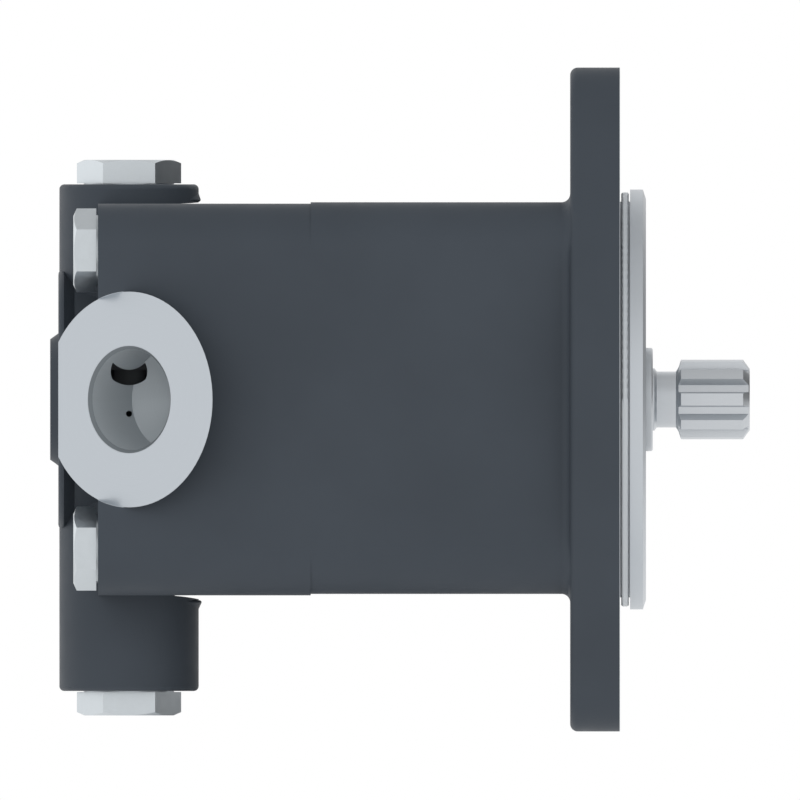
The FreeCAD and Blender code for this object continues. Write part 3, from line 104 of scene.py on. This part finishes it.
# Webs at the window. An edge is the radius of an arc and the height of its middle.
WEB_THICKNESS = 1.6 * MM
WEB_COLUMNS, WEB_ROWS = 24, 8
UPPER_WEB_HALF_WIDTH = 3.15 * MM
UPPER_WEB_EDGE = (4.25 * MM, 10.1 * MM)
LOWER_WEB_HALF_WIDTH = 3.255 * MM
LOWER_WEB_EDGE = (5.14 * MM, 7.94 * MM)
WINDOW_EDGE = (WINDOW_RADIUS, WINDOW_HEIGHT)
WEB_SHARP_ANGLE = math.radians(40)
SAME_POINT = 0.005 * MM
WALL_SEARCH_REACH = 40.0 * MM
WALL_SEARCH_STEPS = 40

# Springs
COIL_STEPS_PER_TURN = 28
COIL_SIDES = 12

# Surface marks: how many a metre has, and how deep they are in metres
CLOUDS_PER_METRE = 45.0
SKIN_PER_METRE, SKIN_DEPTH = 260.0, 0.00002
GRAIN_PER_METRE, GRAIN_DEPTH = 1100.0, 0.000012
TURNING_PER_METRE, TURNING_DEPTH = 9000.0, 0.000002
GRINDING_PER_METRE = 12000.0
MOTTLE_PER_METRE = 500.0
METAL_DEPTH = 0.0000015
RUBBER_PER_METRE, RUBBER_DEPTH = 1200.0, 0.000006
NOISE_LOW, NOISE_HIGH = 0.3, 0.7

# Tone, roughness and shine of the surfaces
COAT_TONES = (0.95, 1.05)
COAT_ROUGHNESS = (0.48, 0.54)
COAT_SHINE = 0.15
METAL_TONES = (0.97, 1.03)
MACHINED_ROUGHNESS = 0.38
ROUGHNESS_CHANGE = 0.05
FACE_METALLIC = 1.0
BORE_METALLIC = 0.1
MOUTH_SHADE_METALLIC = 0.25

# Light and stage, in metres
MIDDLE = (-0.045, 0.0, 0.0)
FILL_COLOUR = (0.985, 1.0, 1.01, 1.0)
FILL_LIGHT = 0.76
FLOOR_PAINT = (0.92, 0.92, 0.92, 1.0)
FLOOR_HALF_WIDTH = 1.2
FLOOR_GLOW = 0.78
SHADOW_FADE = (0.2, 0.9)
PATCH_MIDDLE = (-0.056, 0.014)
PATCH_GLOW = 0.05
PATCH_FADE = (0.035, 0.05)
CARD_PAINT = (0.01, 0.01, 0.01, 1.0)


def colour(red, green, blue):
    """Linear colour from the 0 to 255 values that a picture shows."""
    return tuple(((level / 255 + 0.055) / 1.055) ** 2.4 if level > 10 else level / 255 / 12.92
                 for level in (red, green, blue)) + (1.0,)


# Colours as the photograph shows them
COAT = colour(61, 67, 74)
PORT_METAL = colour(191, 197, 203)
PILOT_METAL = colour(194, 199, 204)
BORE_METAL = colour(166, 172, 176)
# The bore's machined metal painted darker for the ring at a port's mouth: painted shade
MOUTH_PAINTED_SHADE = colour(108, 114, 118)
ZINC = colour(197, 203, 207)
GROUND_STEEL = colour(197, 201, 205)


def add_object(name, data):
    """New object in the scene."""
    item = bpy.data.objects.new(name, data)
    bpy.context.collection.objects.link(item)
    return item


def add_camera():
    """Orthographic camera, framed as the photograph is."""
    middle = PHOTO_PIXELS / 2
    across = (middle - PHOTO_FACE_COLUMN) * PHOTO_MM_PER_PIXEL * MM
    height = (PHOTO_AXIS_ROW - middle) * PHOTO_MM_PER_PIXEL * MM
    data = bpy.data.cameras.new("photo_camera")
    data.type = "ORTHO"
    data.ortho_scale = PHOTO_MM_PER_PIXEL * PHOTO_PIXELS * MM
    camera = add_object("photo_camera", data)
    camera.location = (across, -CAMERA_AWAY, height)
    camera.rotation_euler = (math.radians(90), 0, 0)
    bpy.context.scene.camera = camera


class Shader:
    """A node material being built: makes nodes, links them and sets their sockets."""

    def __init__(self, name):
        self.material = bpy.data.materials.new(name)
        self.material.use_nodes = True
        self.nodes = self.material.node_tree.nodes
        self.links = self.material.node_tree.links
        self.surface = self.nodes["Principled BSDF"]
        self.place = self.nodes.new("ShaderNodeTexCoord").outputs["Object"]

    def put(self, socket, value):
        """Link an output to a socket, or set the socket to a constant."""
        if isinstance(value, bpy.types.NodeSocket):
            self.links.new(value, socket)
        else:
            socket.default_value = value

    def sets(self, **values):
        """Set or link inputs of the surface, with underscores for the blanks in their names."""
        for name, value in values.items():
            self.put(self.surface.inputs[name.replace("_", " ")], value)

    def maths(self, operation, first, second):
        node = self.nodes.new("ShaderNodeMath")
        node.operation = operation
        self.put(node.inputs[0], first)
        self.put(node.inputs[1], second)
        return node.outputs[0]

    def times(self, first, second):
        return self.maths("MULTIPLY", first, second)

    def vector_maths(self, operation, first, second=(0, 0, 0)):
        node = self.nodes.new("ShaderNodeVectorMath")
        node.operation = operation
        self.put(node.inputs[0], first)
        self.put(node.inputs[1], second)
        return node.outputs["Value" if operation in ("DOT_PRODUCT", "LENGTH") else "Vector"]

    def noise(self, scale, detail, roughness=0.5):
        """Even mottling, between 0 and 1."""
        node = self.nodes.new("ShaderNodeTexNoise")
        self.put(node.inputs["Vector"], self.place)
        self.put(node.inputs["Scale"], scale)
        self.put(node.inputs["Detail"], detail)
        self.put(node.inputs["Roughness"], roughness)
        return node.outputs["Fac"]

    def lines(self, distance, scale):
        """Fine lines that follow one distance, such as tool marks, between 0 and 1."""
        node = self.nodes.new("ShaderNodeTexNoise")
        node.noise_dimensions = "1D"
        self.put(node.inputs["W"], distance)
        self.put(node.inputs["Scale"], scale)
        self.put(node.inputs["Detail"], 3.0)
        return node.outputs["Fac"]

    def ramp(self, value, low, high, start=0.0, stop=1.0):
        """Straight climb from start to stop as the value goes from low to high."""
        node = self.nodes.new("ShaderNodeMapRange")
        for socket, item in zip(node.inputs, (value, low, high, start, stop)):
            self.put(socket, item)
        return node.outputs[0]

    def varied(self, noise, start, stop):
        """A value that goes from start to stop with a noise."""
        return self.ramp(noise, NOISE_LOW, NOISE_HIGH, start, stop)

    def mix(self, share, first, second):
        """Blend of two colours."""
        node = self.nodes.new("ShaderNodeMix")
        node.data_type = "RGBA"
        self.put(node.inputs[0], share)
        self.put(node.inputs[6], first)
        self.put(node.inputs[7], second)
        return node.outputs[2]

    def shade(self, tone, factor):
        """A colour made lighter or darker."""
        node = self.nodes.new("ShaderNodeVectorMath")
        node.operation = "SCALE"
        node.inputs[0].default_value = tone[:3]
        self.put(node.inputs["Scale"], factor)
        return node.outputs[0]

    def bump(self, height, depth, under=None):
        """Bump of a real depth in metres, on top of another one if there is one."""
        node = self.nodes.new("ShaderNodeBump")
        self.put(node.inputs["Height"], height)
        self.put(node.inputs["Distance"], depth)
        if under is not None:
            self.put(node.inputs["Normal"], under)
        return node.outputs["Normal"]

    def from_point(self, point):
        """How far a place lies from a point."""
        offset = self.vector_maths("SUBTRACT", self.place, tuple(point))
        return self.vector_maths("LENGTH", offset)

    def ahead(self, point, axis):
        """How far a place lies past a point, along an axis."""
        along = self.vector_maths("DOT_PRODUCT", self.place, tuple(axis))
        return self.maths("SUBTRACT", along, Vector(point).dot(Vector(axis)))

    def away(self, point, axis):
        """How far a place lies from a line."""
        offset = self.vector_maths("SUBTRACT", self.place, tuple(point))
        return self.vector_maths("LENGTH", self.vector_maths("CROSS_PRODUCT", offset, tuple(axis)))

    def beyond(self, distance, limit):
        """1 where a distance is past a limit, 0 where it is short of it."""
        return self.ramp(distance, limit - EDGE_SOFTNESS, limit + EDGE_SOFTNESS)

    def short_of(self, distance, limit):
        """1 where a distance is short of a limit, 0 where it is past it."""
        return self.ramp(distance, limit - EDGE_SOFTNESS, limit + EDGE_SOFTNESS, 1.0, 0.0)

    def blend_surfaces(self, share, first, second):
        """Make the material a blend of two surface shaders."""
        blend = self.nodes.new("ShaderNodeMixShader")
        self.put(blend.inputs[0], share)
        self.put(blend.inputs[1], first)
        self.put(blend.inputs[2], second)
        self.put(self.nodes["Material Output"].inputs["Surface"], blend.outputs[0])


def port_masks(shader, mount, face_ahead, face_radius, bore_radius):
    """Masks of a port's machined face, of its bore and of a ring at its mouth, and the distance
    from its axis. The ring is painted darker than the bore: painted shade where the mouth turns
    away from the light. The face ends at its outline seen along Y, so that the wall of the cut
    that clears it is bare there too."""
    axis = Vector(mount["axis"])
    face = Vector(mount["pos_m"]) + axis * face_ahead
    height = shader.ahead(face, axis)
    radius = shader.away(face, axis)
    offset = shader.vector_maths("SUBTRACT", shader.place, tuple(face))
    flat = shader.vector_maths("MULTIPLY", offset, (1 / abs(axis.y), 0, 1))
    outline = shader.vector_maths("LENGTH", flat)
    at_face = shader.beyond(height, -FACE_DEPTH)
    on_face = shader.times(at_face, shader.short_of(outline, face_radius))
    below = shader.times(shader.beyond(height, -BORE_REACH), shader.short_of(height, -FACE_DEPTH))
    in_bore = shader.times(below, shader.short_of(radius, bore_radius))
    # Ring at the mouth that gets a darker metal colour: painted shade
    mouth_shade = shader.times(in_bore, shader.beyond(height, -MOUTH_SHADE_DEPTH))
    return on_face, in_bore, mouth_shade, radius


def coat(shader):
    """Satin dark coat over a fine cast skin: its colour, roughness and normal."""
    cloud = shader.noise(CLOUDS_PER_METRE, 3.0)
    grain = shader.noise(GRAIN_PER_METRE, 2.0)
    coarse = shader.noise(SKIN_PER_METRE, 2.0)
    tone = shader.shade(COAT, shader.varied(cloud, *COAT_TONES))
    roughness = shader.varied(coarse, *COAT_ROUGHNESS)
    skin = shader.bump(grain, GRAIN_DEPTH, shader.bump(coarse, SKIN_DEPTH))
    return tone, roughness, skin


def casting_material(name, machined_parts):
    """Coated casting whose machined faces are bare metal. Each machined part is a mask, the
    distance that its tool marks follow, its colour and how metallic it is."""
    shader = Shader(name)
    tone, roughness, normal = coat(shader)
    metallic = 0.0
    for mask, distance, metal, shine in machined_parts(shader):
        marks = shader.lines(distance, TURNING_PER_METRE)
        turned = shader.shade(metal, shader.varied(marks, *METAL_TONES))
        tone = shader.mix(mask, tone, turned)
        kept = shader.times(roughness, shader.maths("SUBTRACT", 1.0, mask))
        roughness = shader.maths("ADD", kept, shader.times(mask, MACHINED_ROUGHNESS))
        normal = shader.bump(shader.times(marks, mask), TURNING_DEPTH, normal)
        metallic = shader.maths("MAXIMUM", metallic, shader.times(mask, shine))
    shader.sets(Base_Color=tone, Metallic=metallic, Roughness=roughness, Normal=normal,
                Specular_IOR_Level=COAT_SHINE)
    return shader.material


def front_machined(shader):
    """Mounting face, pilot and everything in front of them, turned about the shaft."""
    ahead = shader.ahead(ORIGIN, SHAFT_AXIS)
    radius = shader.away(ORIGIN, SHAFT_AXIS)
    return [(shader.beyond(ahead, -FACE_DEPTH), radius, PILOT_METAL, FACE_METALLIC)]


def rear_machined(shader):
    """Faces and bores of the two ports, and the passage from the inlet to the valve bore."""
    parts = []
    for port in ((INLET, INLET_FACE_AHEAD, INLET_FACE_RADIUS, INLET_BORE_RADIUS),
                 (OUTLET, OUTLET_FACE_AHEAD, OUTLET_FACE_RADIUS, OUTLET_BORE_RADIUS)):
        on_face, in_bore, mouth_shade, radius = port_masks(shader, *port)
        parts.append((on_face, radius, PORT_METAL, FACE_METALLIC))
        parts.append((in_bore, radius, BORE_METAL, BORE_METALLIC))
        # The mouth's ring is painted darker metal, as painted shade
        parts.append((mouth_shade, radius, MOUTH_PAINTED_SHADE, MOUTH_SHADE_METALLIC))
    tower = INLET["pos_m"][0] + INLET["axis"][0] * INLET_FACE_AHEAD
    from_window = shader.away((tower, 0, WINDOW_HEIGHT), (0, 1, 0))
    outward = shader.ahead(ORIGIN, (0, -1, 0))
    passage = shader.times(shader.short_of(from_window, WINDOW_RADIUS + FACE_DEPTH),
                           shader.beyond(outward, WINDOW_START))
    parts.append((passage, from_window, BORE_METAL, BORE_METALLIC))
    return parts


def metal_material(name, base, roughness, marks_along=None):
    """Bare metal with faint marks, either mottled or in rings that follow one axis."""
    shader = Shader(name)
    if marks_along is None:
        marks = shader.noise(MOTTLE_PER_METRE, 3.0, 0.6)
    else:
        marks = shader.lines(shader.ahead(ORIGIN, marks_along), GRINDING_PER_METRE)
    shader.sets(
        Base_Color=shader.shade(base, shader.varied(marks, *METAL_TONES)),
        Metallic=1.0,
        Roughness=shader.varied(marks, roughness - ROUGHNESS_CHANGE, roughness + ROUGHNESS_CHANGE),
        Normal=shader.bump(marks, METAL_DEPTH),
    )
    return shader.material


def dull_material(name, base, roughness):
    """Rubber, or steel with a dull skin."""
    shader = Shader(name)
    skin = shader.noise(RUBBER_PER_METRE, 2.0)
    shader.sets(
        Base_Color=base,
        Roughness=shader.varied(skin, roughness - ROUGHNESS_CHANGE, roughness + ROUGHNESS_CHANGE),
        Normal=shader.bump(skin, RUBBER_DEPTH),
    )
    return shader.material


MATERIALS = {
    "front_casting": casting_material("front_casting", front_machined),
    "rear_casting": casting_material("rear_casting", rear_machined),
    "zinc_steel": metal_material("zinc_steel", ZINC, 0.33),
    "ground_steel": metal_material("ground_steel", GROUND_STEEL, 0.33, SHAFT_AXIS),
    "bearing_steel": metal_material("bearing_steel", colour(205, 207, 210), 0.18),
    "cage_steel": metal_material("cage_steel", colour(180, 182, 185), 0.35),
    "spring_steel": metal_material("spring_steel", colour(120, 124, 130), 0.35),
    "bronze": metal_material("bronze", colour(190, 150, 95), 0.35),
    "oxide_steel": dull_material("oxide_steel", colour(165, 170, 174), 0.6),
    "seal_rubber": dull_material("seal_rubber", colour(34, 34, 36), 0.55),
    "pale_seal": dull_material("pale_seal", colour(222, 226, 229), 0.45),
}
# Nodes whose finish isn't named as their material slot is
NODE_FINISH = {
    "front_housing": "front_casting",
    "rear_housing": "rear_casting",
    "flow_spool": "oxide_steel",
    "pilot_ring": "pale_seal",
}


def finish_nodes():
    """Give every construction node its material."""
    slots = {row["node"]: row["material_slot"] for row in frame["record"]["subparts"]}
    for name, node in NODES.items():
        node.data.materials.clear()
        node.data.materials.append(MATERIALS[NODE_FINISH.get(name, slots[name])])


def mesh_from(shape, name, material):
    """Mesh made from a closed bmesh, with its faces outward. The bmesh is freed."""
    bmesh.ops.recalc_face_normals(shape, faces=shape.faces)
    mesh = bpy.data.meshes.new(name)
    shape.to_mesh(mesh)
    shape.free()
    mesh.materials.append(material)
    return mesh


def arc_height(edge, across, side):
    """Height of an arc's upper (1) or lower (-1) half at a distance from its middle."""
    radius, height = edge
    return height + side * math.sqrt(radius ** 2 - across ** 2)


def bore_wall(out, across, height):
    """How far along Y a line meets the wall of the inlet's bore, or the cone left by the drill."""
    near, far = 0.0, WALL_SEARCH_REACH
    for _ in range(WALL_SEARCH_STEPS):
        middle = (near + far) / 2
        offset = Vector((across, middle, height))
        depth = -offset.dot(out)
        cone_depth = max(0.0, depth - INLET_BORE_DEPTH)
        room = INLET_WALL_RADIUS - cone_depth * math.tan(DRILL_POINT_ANGLE)
        if (offset + out * depth).length < room:
            near = middle
        else:
            far = middle
    return near


def add_inlet_web():
    """Rounded webs of the casting above and below the window between the inlet's bore and the valve
    bore. Their front follows the bore's wall and the drill's cone."""
    out = Vector(INLET["axis"])
    face = Vector(INLET["pos_m"]) + out * INLET_FACE_AHEAD
    stride = WEB_ROWS + 1
    grid = bmesh.new()

    def quad(first, second, third, fourth):
        grid.faces.new((first, second, third, fourth)).smooth = True

    # Half width of a web, then its lower and its upper edge with the half of the arc in use
    for half_width, lower, upper in (
            (UPPER_WEB_HALF_WIDTH, (UPPER_WEB_EDGE, -1), (WINDOW_EDGE, 1)),
            (LOWER_WEB_HALF_WIDTH, (WINDOW_EDGE, -1), (LOWER_WEB_EDGE, -1))):
        front_layer, back_layer = layers = ([], [])
        for column in range(WEB_COLUMNS + 1):
            across = half_width * math.cos(math.pi * column / WEB_COLUMNS)
            bottom = arc_height(lower[0], across, lower[1])
            top = max(bottom, arc_height(upper[0], across, upper[1]))
            for row in range(stride):
                height = bottom + (top - bottom) * row / WEB_ROWS
                front = face.y + bore_wall(out, across, height)
                front_layer.append(grid.verts.new((face.x + across, front, height)))
                back_layer.append(grid.verts.new((face.x + across, front + WEB_THICKNESS, height)))
        for column in range(WEB_COLUMNS):
            for row in range(WEB_ROWS):
                corner = column * stride + row
                loop = (corner, corner + 1, corner + stride + 1, corner + stride)
                quad(*(front_layer[index] for index in loop))
                quad(*(back_layer[index] for index in reversed(loop)))
            for row, (near, far) in ((0, (1, 0)), (WEB_ROWS, (0, 1))):
                one, two = column * stride + row, (column + 1) * stride + row
                quad(layers[far][one], layers[near][one], layers[near][two], layers[far][two])
    bmesh.ops.remove_doubles(grid, verts=grid.verts, dist=SAME_POINT)
    mesh = mesh_from(grid, "inlet_web", MATERIALS["rear_casting"])
    mesh.set_sharp_from_angle(angle=WEB_SHARP_ANGLE)
    web = add_object("inlet_web", mesh)
    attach(web, "housing")


def add_coil(node, body, wire, turns):
    """Round-wire spring in place of a construction node, which it hides, carried by a body."""
    low, high = (Vector(corner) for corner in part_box(node))
    middle = (low + high) / 2
    radius = (high.x - low.x - wire) / 2
    bottom = low.z + wire / 2
    rise = high.z - low.z - wire
    steps = COIL_STEPS_PER_TURN * turns
    climb = rise / (2 * math.pi * turns * radius)
    coil = bmesh.new()
    rings = []
    for step in range(steps + 1):
        turn = 2 * math.pi * turns * step / steps
        outward = Vector((math.cos(turn), math.sin(turn), 0))
        along = Vector((-math.sin(turn), math.cos(turn), climb)).normalized()
        upward = outward.cross(along)
        height = bottom + rise * step / steps
        centre = Vector((middle.x, middle.y, height)) + outward * radius
        rings.append([
            coil.verts.new(centre + (outward * math.cos(side) + upward * math.sin(side)) * wire / 2)
            for side in (2 * math.pi * index / COIL_SIDES for index in range(COIL_SIDES))])
    for one, two in zip(rings, rings[1:]):
        for index in range(COIL_SIDES):
            after = (index + 1) % COIL_SIDES
            coil.faces.new((one[index], one[after], two[after], two[index])).smooth = True
    coil.faces.new(rings[0])
    coil.faces.new(rings[-1])
    name = f"{node}_coil"
    spring = add_object(name, mesh_from(coil, name, MATERIALS["spring_steel"]))
    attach(spring, body)
    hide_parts(node)
    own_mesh(spring)


def add_area(name, place, size, power, mirrored=True):
    """Soft square lamp that looks at the pump, and that metal may or may not mirror."""
    data = bpy.data.lights.new(name, "AREA")
    data.shape = "SQUARE"
    data.size = size
    data.energy = power
    lamp = add_object(name, data)
    lamp.location = place
    lamp.rotation_euler = (Vector(MIDDLE) - Vector(place)).to_track_quat("-Z", "Y").to_euler()
    lamp.visible_glossy = mirrored


def add_lights():
    """Large soft lamps: over the top, from the left and behind, and plain light from the front."""
    add_area("top_lamp", (-0.1, -0.5, 1.1), size=1.2, power=0.6)
    add_area("left_lamp", (-1.1, 0.6, 0.1), size=0.9, power=0.8)
    add_area("front_lamp", (-0.5, -1.4, 0.3), size=1.2, power=7.0, mirrored=False)


def add_stage_mesh(name, corners, material):
    """One flat face that belongs to the stage."""
    mesh = bpy.data.meshes.new(name)
    mesh.from_pydata(corners, [], [(0, 1, 2, 3)])
    mesh.materials.append(material)
    stage = add_object(name, mesh)


def square(centre, across, up, reach):
    """Corners of a square in space, from its middle and half its side."""
    return [centre + (across * one + up * two) * reach
            for one, two in ((-1, -1), (1, -1), (1, 1), (-1, 1))]


def add_floor():
    """Pale floor under the lowest point of the pump. The camera sees the pump's shadow on it, which
    fades into the white backdrop. For all other rays it is white, apart from a patch under the
    barrel."""
    low = cad_box[0][2]
    shader = Shader("floor_white")
    shader.sets(Base_Color=FLOOR_PAINT, Roughness=0.9)
    glow = shader.nodes.new("ShaderNodeEmission")
    glow.inputs["Strength"].default_value = 1.0
    camera = shader.nodes.new("ShaderNodeLightPath").outputs["Is Camera Ray"]
    from_pump = shader.from_point((*MIDDLE[:2], low))
    from_patch = shader.from_point((*PATCH_MIDDLE, low))
    to_camera = shader.times(camera, shader.ramp(from_pump, *SHADOW_FADE, FLOOR_GLOW, 1.0))
    to_others = shader.times(shader.maths("SUBTRACT", 1.0, camera),
                             shader.ramp(from_patch, *PATCH_FADE, PATCH_GLOW, 1.0))
    shader.blend_surfaces(shader.maths("ADD", to_others, to_camera),
                          shader.surface.outputs[0], glow.outputs[0])
    corners = square(Vector((0, 0, low)), Vector((1, 0, 0)), Vector((0, 1, 0)), FLOOR_HALF_WIDTH)
    add_stage_mesh("floor", corners, shader.material)


def add_card(name, direction, inner, outer, depth):
    """Dark cloth a metre away, which fades out at its edge and shows in reflections only."""
    direction = Vector(direction).normalized()
    centre = Vector(MIDDLE) + direction
    shader = Shader(name)
    shader.sets(Base_Color=CARD_PAINT, Roughness=1.0)
    mirrored = shader.nodes.new("ShaderNodeLightPath").outputs["Is Glossy Ray"]
    share = shader.times(shader.ramp(shader.from_point(centre), inner, outer, depth, 0.0), mirrored)
    clear = shader.nodes.new("ShaderNodeBsdfTransparent")
    shader.blend_surfaces(share, clear.outputs[0], shader.surface.outputs[0])
    across = direction.orthogonal().normalized()
    add_stage_mesh(name, square(centre, across, direction.cross(across), outer), shader.material)


def add_world():
    """Even fill light. The camera, metal and glass meet the white backdrop instead."""
    world = bpy.data.worlds.new("studio")
    bpy.context.scene.world = world
    world.use_nodes = True
    nodes, links = world.node_tree.nodes, world.node_tree.links
    nodes.clear()
    fill, backdrop = (nodes.new("ShaderNodeBackground") for _ in range(2))
    fill.inputs[0].default_value = FILL_COLOUR
    fill.inputs[1].default_value = FILL_LIGHT
    backdrop.inputs[0].default_value = (1, 1, 1, 1)
    path = nodes.new("ShaderNodeLightPath")
    seen = path.outputs["Is Camera Ray"]
    for kind in ("Is Glossy Ray", "Is Transmission Ray"):
        highest = nodes.new("ShaderNodeMath")
        highest.operation = "MAXIMUM"
        links.new(seen, highest.inputs[0])
        links.new(path.outputs[kind], highest.inputs[1])
        seen = highest.outputs[0]
    blend = nodes.new("ShaderNodeMixShader")
    links.new(seen, blend.inputs[0])
    links.new(fill.outputs[0], blend.inputs[1])
    links.new(backdrop.outputs[0], blend.inputs[2])
    links.new(blend.outputs[0], nodes.new("ShaderNodeOutputWorld").inputs["Surface"])


bpy.context.scene.view_settings.view_transform = "Standard"
add_camera()
finish_nodes()
add_inlet_web()
add_coil("spool_spring", "housing", 1.2 * MM, 7)
add_coil("relief_spring", "spool", 0.6 * MM, 4)
add_lights()
add_floor()
add_card("dark_card", (0.9, 0.38, 0.0), inner=0.4, outer=1.2, depth=0.86)
add_card("top_card", (0.0, -0.1, 1.0), inner=0.6, outer=1.6, depth=0.35)
add_world()
